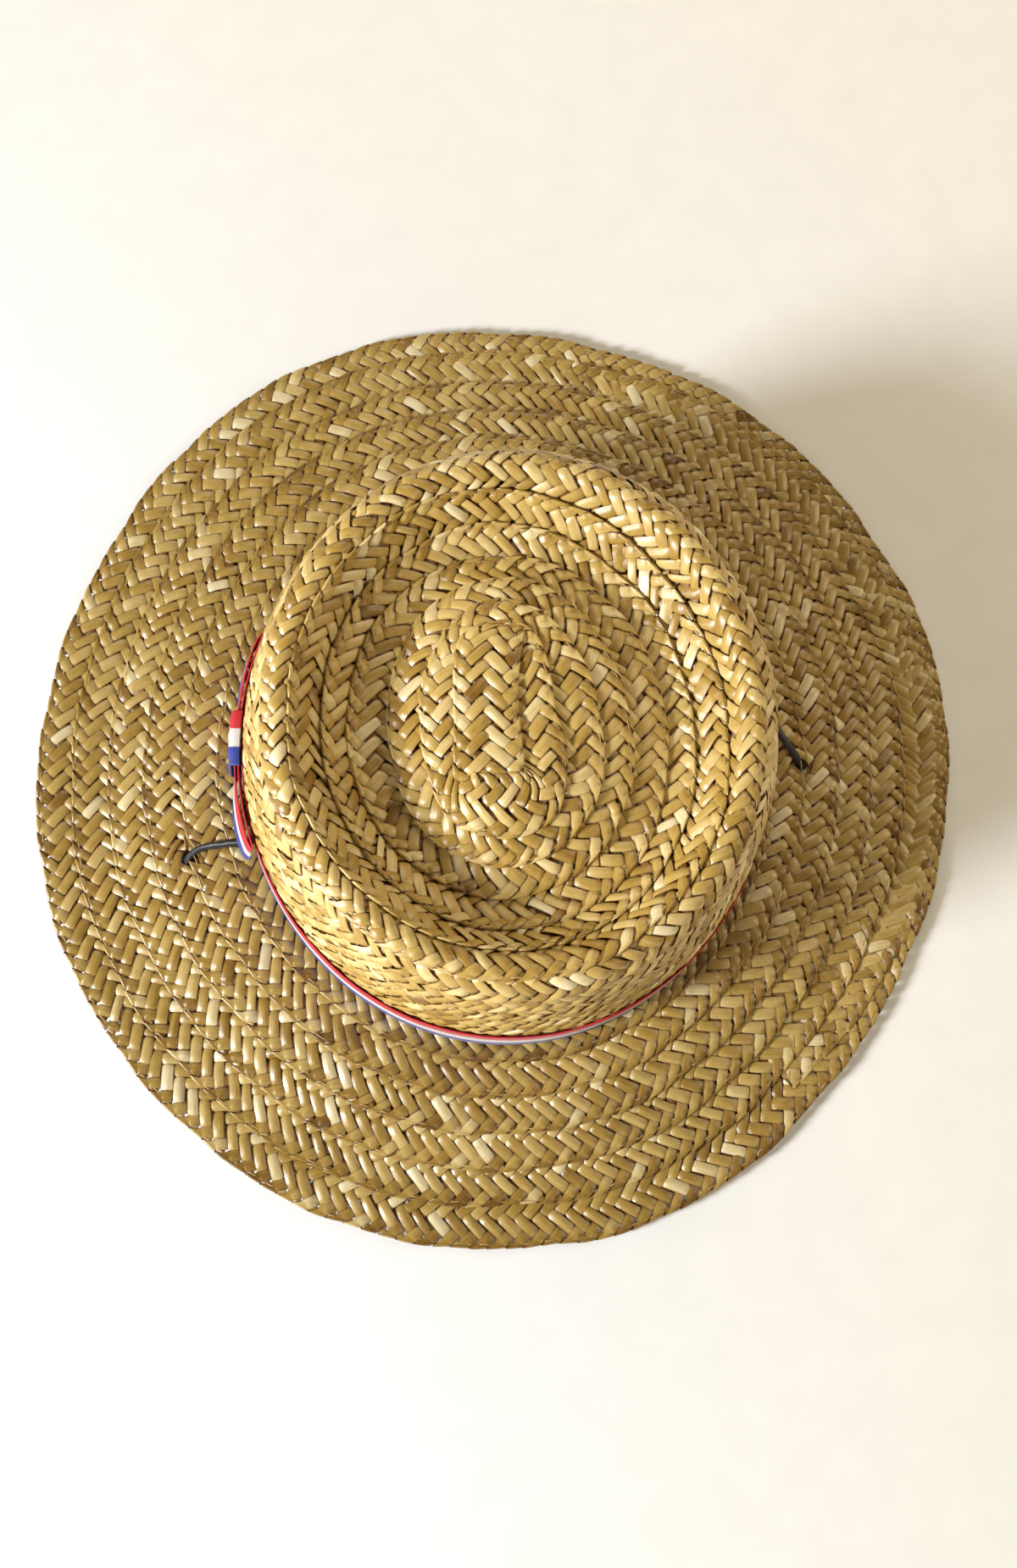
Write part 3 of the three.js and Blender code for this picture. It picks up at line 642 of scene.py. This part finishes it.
# ------------------------------------------------------------------ ribbon
def ribbon(name, mid, normal, uv, thick, node, close=False):
    """A cloth strip: mid and normal are (rows, cols, 3), rows along it."""
    r, c = mid.shape[:2]
    a, b = mid + normal * thick / 2, mid - normal * thick / 2
    ringed = np.concatenate([a, b[:, ::-1]], 1)
    uvr = np.concatenate([uv, uv[:, ::-1]], 1)
    quads = grid_quads(r, 2 * c, close_rows=close, close_cols=True)
    if not close:
        ends = []
        for j in range(c - 1):
            ends.append([j, j + 1, 2 * c - 2 - j, 2 * c - 1 - j])
            o = (r - 1) * 2 * c
            ends.append([o + 2 * c - 1 - j, o + 2 * c - 2 - j, o + j + 1, o + j])
        quads = np.vstack([quads, np.array(ends)])
    ob = mesh_object(name, ringed.reshape(-1, 3), quads, uvr.reshape(-1, 2))
    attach(ob, "root")
    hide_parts(node)
    return ob


def normals_of(mid, close=False):
    if close:
        du = np.roll(mid, -1, 0) - np.roll(mid, 1, 0)
    else:
        du = np.gradient(mid, axis=0)
    dv = np.gradient(mid, axis=1)
    n = np.cross(du, dv)
    return n / np.linalg.norm(n, axis=-1, keepdims=True)


rng = np.random.default_rng(5)
# band
N = 480
th = np.arange(N) / N * 2 * np.pi
zz = np.linspace(BAND_Z0 + 0.1, BAND_Z1 - 0.1, 15)
ww, ll = wall(zz)
off = 1.02 + 0.07 * np.sin(9 * th + 1.0)[:, None] * np.linspace(0.3, 1, 15)[None] \
    + 0.05 * np.sin(23 * th + 2.0)[:, None] * np.linspace(0.1, 1, 15)[None] ** 2
mid = np.stack([(ww[None] + off) * np.cos(th)[:, None], (ll[None] + off) * np.sin(th)[:, None],
                zz[None] + 0.12 * np.sin(5 * th)[:, None] * 0 + 0 * off], -1)
nrm = normals_of(mid, True)
if (nrm[0, 0] @ np.array([1, 0, 0])) < 0:
    nrm = -nrm
long_band = float(np.linalg.norm(np.roll(mid[:, 7], -1, 0) - mid[:, 7], axis=1).sum())
uv = np.stack([np.repeat((th / (2 * np.pi) * long_band)[:, None], 15, 1),
               np.repeat(np.linspace(0, 1, 15)[None], N, 0)], -1)
hat_band = ribbon("ribbon_band", mid, nrm, uv, 0.5, "hat_band",
                  close=True)

# bow
KNOT_Y, KNOT_WIDE = 2.3, 19.0
ON_BAND = GAP + RIBBON + GAP
LOOP = np.array([
    (3.0, 0.70, 0.70, 11.3, 28.4), (11.0, 0.70, 0.70, 11.2, 28.4), (25.0, 0.75, 0.70, 9.9, 29.3),
    (36.0, 1.00, 0.75, 9.7, 29.5), (38.6, 1.80, 0.85, 9.7, 29.6), (39.6, 2.80, 1.15, 9.7, 29.5),
    (38.4, 3.90, 1.60, 9.7, 29.3), (35.0, 4.50, 1.95, 9.7, 29.1), (25.0, 4.60, 2.05, 9.9, 28.9),
    (17.0, 3.60, 1.95, 10.2, 28.7), (11.0, 2.20, 1.85, 11.2, 28.3), (3.0, 2.00, 2.00, 11.3, 28.3)])


def loop_ribbon(name, node, side, stretch, rise, seed):
    c = np.concatenate([[0], np.cumsum(np.hypot(np.diff(LOOP[:, 0]), np.diff(LOOP[:, 1])))])
    s = np.linspace(0, c[-1], 84)
    row = knots(c, LOOP, s)
    h = np.linspace(0, 1, 13)
    along = row[:, :1] * stretch + 0 * h
    off = ON_BAND + row[:, 1:2] + (row[:, 2:3] - row[:, 1:2]) * h
    z = row[:, 3:4] + (row[:, 4:5] - row[:, 3:4]) * h + rise * np.maximum(row[:, :1] - 11, 0) / 28
    puffed = smooth(0.42 * c[-1], 0.62 * c[-1], s)[:, None]
    gather = smooth(26, 9, row[:, :1])
    off = off + puffed * (0.10 * np.sin(h * 9 + 0.13 * s[:, None] + seed)
                          + 0.16 * gather * np.sin(h * 17 + seed))
    mid = beside(KNOT_Y + side * along, off, z)
    nrm = normals_of(mid)
    out = mid[60, 6] - np.array([-60.0, KNOT_Y, mid[60, 6, 2]])
    if nrm[60, 6] @ out < 0:
        nrm = -nrm
    uv = np.stack([s[:, None] + 0 * h, h[None] + 0 * s[:, None]], -1)
    return ribbon(name, mid, nrm, uv, 0.55, node)


loop_front = loop_ribbon("ribbon_loop_front", "bow_loop_front", 1, 0.92, 0.6, 0.4)
loop_back = loop_ribbon("ribbon_loop_back", "bow_loop_back", -1, 0.96, 2.8, 2.1)
KNOT = np.array([(0.0, 9.85), (2.0, 9.85), (3.4, 10.3), (3.8, 13.0), (3.9, 19.5), (3.8, 26.5),
                 (3.4, 29.2), (2.0, 29.75), (0.0, 29.75)])
c = np.concatenate([[0], np.cumsum(np.hypot(*np.diff(KNOT, axis=0).T))])
s = np.linspace(0, c[-1], 40)
row = knots(c, KNOT, s)
h = np.linspace(-0.5, 0.5, 25)
pleat = 0.22 * np.sin(h * 21 + 0.5)[None] * smooth(0.05, 0.2, s / c[-1])[:, None] \
    * smooth(1.0, 0.85, s / c[-1])[:, None]
pinch = 1 - 0.05 * np.sin(np.pi * s / c[-1])[:, None]
mid = beside(KNOT_Y + h[None] * KNOT_WIDE * pinch, ON_BAND + row[:, :1] + pleat, row[:, 1:2] + 0 * h)
nrm = normals_of(mid)
if nrm[20, 12] @ np.array([-1, 0, 0]) < 0:
    nrm = -nrm
uv = np.stack([s[:, None] + 0 * h, 0.5 + h[None] + 0 * s[:, None]], -1)
knot = ribbon("ribbon_knot", mid, nrm, uv, 0.6, "bow_knot")


# ------------------------------------------------------------------ materials
class Nodes:
    def __init__(self, name):
        self.m = bpy.data.materials.new(name)
        self.m.use_nodes = True
        self.t = self.m.node_tree
        self.t.nodes.clear()
        self.out = self.add("ShaderNodeOutputMaterial")
        self.bsdf = self.add("ShaderNodeBsdfPrincipled")
        self.t.links.new(self.bsdf.outputs[0], self.out.inputs[0])

    def add(self, kind, **props):
        n = self.t.nodes.new(kind)
        for k, v in props.items():
            setattr(n, k, v)
        return n

    def link(self, a, b):
        self.t.links.new(a, b)

    def math(self, op, a, b=None, clamp=False):
        n = self.add("ShaderNodeMath", operation=op, use_clamp=clamp)
        for i, x in enumerate((a, b)):
            if x is None:
                continue
            if isinstance(x, (int, float)):
                n.inputs[i].default_value = x
            else:
                self.link(x, n.inputs[i])
        return n.outputs[0]

    def range(self, x, a, b, c, d, smooth_it=False):
        n = self.add("ShaderNodeMapRange", clamp=True,
                     interpolation_type="SMOOTHSTEP" if smooth_it else "LINEAR")
        self.link(x, n.inputs[0])
        for i, v in enumerate((a, b, c, d)):
            n.inputs[i + 1].default_value = v
        return n.outputs[0]

    def ramp(self, x, stops, kind="LINEAR"):
        n = self.add("ShaderNodeValToRGB")
        n.color_ramp.interpolation = kind
        while len(n.color_ramp.elements) < len(stops):
            n.color_ramp.elements.new(0.5)
        for e, (at, col) in zip(n.color_ramp.elements, stops):
            e.position, e.color = at, (*col, 1)
        self.link(x, n.inputs[0])
        return n.outputs[0]

    def mix(self, kind, fac, a, b):
        n = self.add("ShaderNodeMix", data_type="RGBA", blend_type=kind)
        for i, x in ((0, fac), (6, a), (7, b)):
            if isinstance(x, (int, float)):
                n.inputs[i].default_value = x
            elif isinstance(x, tuple):
                n.inputs[i].default_value = (*x, 1)
            else:
                self.link(x, n.inputs[i])
        return n.outputs[2]

    def vec(self, x, y, z=0.0):
        n = self.add("ShaderNodeCombineXYZ")
        for i, v in enumerate((x, y, z)):
            if isinstance(v, (int, float)):
                n.inputs[i].default_value = v
            else:
                self.link(v, n.inputs[i])
        return n.outputs[0]

    def noise(self, vector, scale=1.0, detail=2.0, rough=0.5):
        n = self.add("ShaderNodeTexNoise")
        n.inputs["Scale"].default_value = scale
        n.inputs["Detail"].default_value = detail
        n.inputs["Roughness"].default_value = rough
        self.link(vector, n.inputs["Vector"])
        return n.outputs[0]


def straw_material(name, light, warm):
    g = Nodes(name)
    run = g.add("ShaderNodeUVMap", uv_map="run")
    xyz = g.add("ShaderNodeSeparateXYZ")
    g.link(run.outputs[0], xyz.inputs[0])
    along, across = xyz.outputs[0], xyz.outputs[1]
    attr = g.add("ShaderNodeAttribute", attribute_name="tone")
    rgb = g.add("ShaderNodeSeparateColor")
    g.link(attr.outputs["Color"], rgb.inputs[0])
    # the tone attribute holds the straw's tone, how open it lies (read as painted shade) and a seed
    tone, open_, seed = rgb.outputs[0], rgb.outputs[1], rgb.outputs[2]
    # fibres: long and thin, along the straw
    fibre = g.noise(g.vec(g.math("MULTIPLY", along, 0.22), g.math("MULTIPLY", across, 15.0),
                          g.math("MULTIPLY", seed, 91.0)), 1.0, 3.0, 0.65)
    broad = g.noise(g.vec(g.math("MULTIPLY", along, 0.07), g.math("MULTIPLY", across, 2.6),
                          g.math("MULTIPLY", seed, 57.0)), 1.0, 2.0, 0.5)
    cloud = g.noise(g.vec(g.math("MULTIPLY", along, 0.16), g.math("MULTIPLY", across, 0.7),
                          g.math("MULTIPLY", seed, 23.0)), 1.0, 2.0, 0.5)
    t = g.math("ADD", tone, g.math("MULTIPLY", g.math("SUBTRACT", cloud, 0.5), 0.42))
    t = g.math("ADD", t, g.math("MULTIPLY", g.math("SUBTRACT", broad, 0.5), 0.28))
    t = g.math("ADD", t, g.math("MULTIPLY", g.math("SUBTRACT", fibre, 0.5), 0.38), True)
    col = g.ramp(t, [(0.0, (0.190, 0.090, 0.011)), (0.16, (0.295, 0.165, 0.026)),
                     (0.36, (0.440, 0.280, 0.057)), (0.54, (0.560, 0.387, 0.107)),
                     (0.72, (0.672, 0.500, 0.190)), (0.88, (0.772, 0.622, 0.305)),
                     (1.0, (0.865, 0.755, 0.455))])
    # painted shade: the straw's colour is darkened, in a warm brown, towards its two edges and where it dives
    # under its neighbour, where shade falls in the gaps
    edge_shade = g.math("MULTIPLY", g.range(across, 0.0, 0.10, 0.42, 1.0, True),
                 g.range(across, 1.0, 0.90, 0.42, 1.0, True))
    dip_shade = g.range(open_, 0.0, 0.9, 0.24, 1.0, True)
    col = g.mix("MULTIPLY", 1.0, col, g.mix("MIX", g.math("MULTIPLY", edge_shade, dip_shade), (0.30, 0.13, 0.030),
                                             (1.0, 1.0, 1.0)))
    col = g.mix("MULTIPLY", 1.0, col, (light, light, light * warm))
    g.link(col, g.bsdf.inputs["Base Color"])
    rough = g.range(fibre, 0.25, 0.75, 0.22, 0.42)
    g.link(rough, g.bsdf.inputs["Roughness"])
    g.bsdf.inputs["IOR"].default_value = 1.5
    g.bsdf.inputs["Specular IOR Level"].default_value = 0.82
    bump = g.add("ShaderNodeBump")
    bump.inputs["Strength"].default_value = 0.55
    bump.inputs["Distance"].default_value = 0.00022
    g.link(g.math("ADD", g.math("MULTIPLY", fibre, 0.8), g.math("MULTIPLY", broad, 0.9)),
           bump.inputs["Height"])
    g.link(bump.outputs[0], g.bsdf.inputs["Normal"])
    return g.m


def thread_material():
    g = Nodes("sewing_thread")
    run = g.add("ShaderNodeUVMap", uv_map="run")
    xyz = g.add("ShaderNodeSeparateXYZ")
    g.link(run.outputs[0], xyz.inputs[0])
    along, across = xyz.outputs[0], xyz.outputs[1]
    ply = g.math("SINE", g.math("MULTIPLY", g.math("ADD", g.math("MULTIPLY", along, 1.5), across),
                                4 * math.pi))
    worn = g.noise(g.vec(g.math("MULTIPLY", along, 0.05), 0.0), 1.0, 2.0)
    t = g.math("ADD", g.math("MULTIPLY", ply, 0.07), worn, True)
    g.link(g.ramp(t, [(0.2, (0.36, 0.225, 0.070)), (0.5, (0.50, 0.350, 0.13)),
                      (0.8, (0.64, 0.490, 0.24))]), g.bsdf.inputs["Base Color"])
    g.bsdf.inputs["Roughness"].default_value = 0.55
    bump = g.add("ShaderNodeBump")
    bump.inputs["Strength"].default_value = 0.4
    bump.inputs["Distance"].default_value = 0.00005
    g.link(ply, bump.inputs["Height"])
    g.link(bump.outputs[0], g.bsdf.inputs["Normal"])
    return g.m


def ribbon_material():
    g = Nodes("striped_ribbon")
    run = g.add("ShaderNodeUVMap", uv_map="run")
    xyz = g.add("ShaderNodeSeparateXYZ")
    g.link(run.outputs[0], xyz.inputs[0])
    along, across = xyz.outputs[0], xyz.outputs[1]
    wob = g.noise(g.vec(g.math("MULTIPLY", along, 1.3), 0.0, 0.0), 1.0, 2.0)
    place = g.math("ADD", across, g.math("MULTIPLY", g.math("SUBTRACT", wob, 0.5), 0.012))
    col = g.ramp(place, [(0.0, (0.035, 0.055, 0.36)), (0.325, (0.035, 0.055, 0.36)),
                         (0.345, (0.80, 0.78, 0.80)), (0.655, (0.80, 0.78, 0.80)),
                         (0.675, (0.62, 0.012, 0.03)), (1.0, (0.62, 0.012, 0.03))])
    # ribs across the ribbon and the fine warp over them
    rib = g.math("SINE", g.math("MULTIPLY", along, 2 * math.pi / 0.62))
    warp = g.math("SINE", g.math("MULTIPLY", across, 2 * math.pi * 44))
    weave = g.math("ADD", g.math("MULTIPLY", rib, 0.5), g.math("MULTIPLY", g.math("MULTIPLY", rib, warp), 0.35))
    shade = g.range(weave, -0.85, 0.85, 0.70, 1.05)
    worn = g.noise(g.vec(g.math("MULTIPLY", along, 0.12), g.math("MULTIPLY", across, 2.2)), 1.0, 3.0)
    shade = g.math("MULTIPLY", shade, g.range(worn, 0.3, 0.7, 0.86, 1.04))
    n = g.mix("MULTIPLY", 1.0, col, g.vec(shade, shade, shade))
    g.link(n, g.bsdf.inputs["Base Color"])
    g.link(g.range(weave, -0.85, 0.85, 0.62, 0.46), g.bsdf.inputs["Roughness"])
    g.bsdf.inputs["Sheen Weight"].default_value = 0.25
    g.bsdf.inputs["Sheen Roughness"].default_value = 0.4
    bump = g.add("ShaderNodeBump")
    bump.inputs["Strength"].default_value = 0.6
    bump.inputs["Distance"].default_value = 0.00012
    g.link(weave, bump.inputs["Height"])
    g.link(bump.outputs[0], g.bsdf.inputs["Normal"])
    return g.m


def cord_material():
    g = Nodes("black_cord")
    run = g.add("ShaderNodeUVMap", uv_map="run")
    xyz = g.add("ShaderNodeSeparateXYZ")
    g.link(run.outputs[0], xyz.inputs[0])
    along, across = xyz.outputs[0], xyz.outputs[1]
    twist = g.math("ADD", g.math("MULTIPLY", across, 24.0), g.math("MULTIPLY", along, 4.2))
    yarn = g.math("SINE", g.math("MULTIPLY", twist, 2 * math.pi))
    fuzz = g.noise(g.vec(g.math("MULTIPLY", along, 2.4), g.math("MULTIPLY", across, 9.0)), 1.0, 3.0)
    t = g.range(g.math("ADD", g.math("MULTIPLY", yarn, 0.35), fuzz), 0.1, 0.9, 0.0, 1.0)
    g.link(g.ramp(t, [(0, (0.006, 0.006, 0.008)), (0.6, (0.016, 0.017, 0.021)),
                      (1, (0.048, 0.052, 0.062))]), g.bsdf.inputs["Base Color"])
    g.link(g.range(fuzz, 0.3, 0.7, 0.30, 0.48), g.bsdf.inputs["Roughness"])
    g.bsdf.inputs["Specular IOR Level"].default_value = 0.7
    bump = g.add("ShaderNodeBump")
    bump.inputs["Strength"].default_value = 0.5
    bump.inputs["Distance"].default_value = 0.00012
    g.link(g.math("ADD", g.math("MULTIPLY", yarn, 0.5), fuzz), bump.inputs["Height"])
    g.link(bump.outputs[0], g.bsdf.inputs["Normal"])
    return g.m


def give(material, *objects):
    for o in objects:
        o.data.materials.clear()
        o.data.materials.append(material)


give(straw_material("straw_crown", 1.0, 1.05), *crown_parts)
give(straw_material("straw_brim", 0.755, 1.03), *brim_parts)
give(thread_material(), *threads)
striped = ribbon_material()
give(striped, hat_band, loop_front, loop_back, knot)
give(cord_material(), chin_cord)

# ------------------------------------------------------------------ floor, light
g = Nodes("pale_floor")
g.bsdf.inputs["Roughness"].default_value = 0.9
g.bsdf.inputs["Specular IOR Level"].default_value = 0.1
geo = g.add("ShaderNodeTexCoord")
grain = g.noise(geo.outputs["Object"], 60.0, 3.0)
g.link(g.ramp(grain, [(0.3, (0.84, 0.86, 0.89)), (0.7, (0.87, 0.89, 0.92))]),
       g.bsdf.inputs["Base Color"])
fl = mesh_object("floor", [(-6000, -6000, -0.02), (6000, -6000, -0.02), (6000, 6000, -0.02),
                           (-6000, 6000, -0.02)], [[0, 1, 2, 3]])
give(g.m, fl)

world = bpy.data.worlds.new("studio")
world.use_nodes = True
scene.world = world
world.node_tree.nodes["Background"].inputs[0].default_value = (1.0, 0.93, 0.80, 1)
world.node_tree.nodes["Background"].inputs[1].default_value = 0.06


def area(name, at, to, wide, power, colour):
    d = bpy.data.lights.new(name, "AREA")
    d.shape, d.size, d.energy, d.color = "DISK", wide, power, colour
    o = bpy.data.objects.new(name, d)
    scene.collection.objects.link(o)
    o.location = at
    o.rotation_euler = (Vector(to) - Vector(at)).to_track_quat("-Z", "Y").to_euler()
    return o


def from_side(name, azimuth, height, far, wide, power, colour):
    a, h = math.radians(azimuth), math.radians(height)
    area(name, (far * math.cos(a) * math.cos(h), far * math.sin(a) * math.cos(h),
                far * math.sin(h)), (0, 0, 0.04), wide, power, colour)


WARM = (1.0, 0.83, 0.56)
from_side("key", 204, 26, 1.20, 0.30, 23.6, (1.0, 0.99, 0.965))
from_side("fill_back", 88, 30, 0.95, 0.60, 3.0, WARM)
from_side("fill_right", 15, 34, 0.95, 0.60, 3.1, WARM)
from_side("fill_front", 290, 32, 0.95, 0.60, 1.9, WARM)
scene.view_settings.view_transform = "Standard"
scene.view_settings.look = "None"
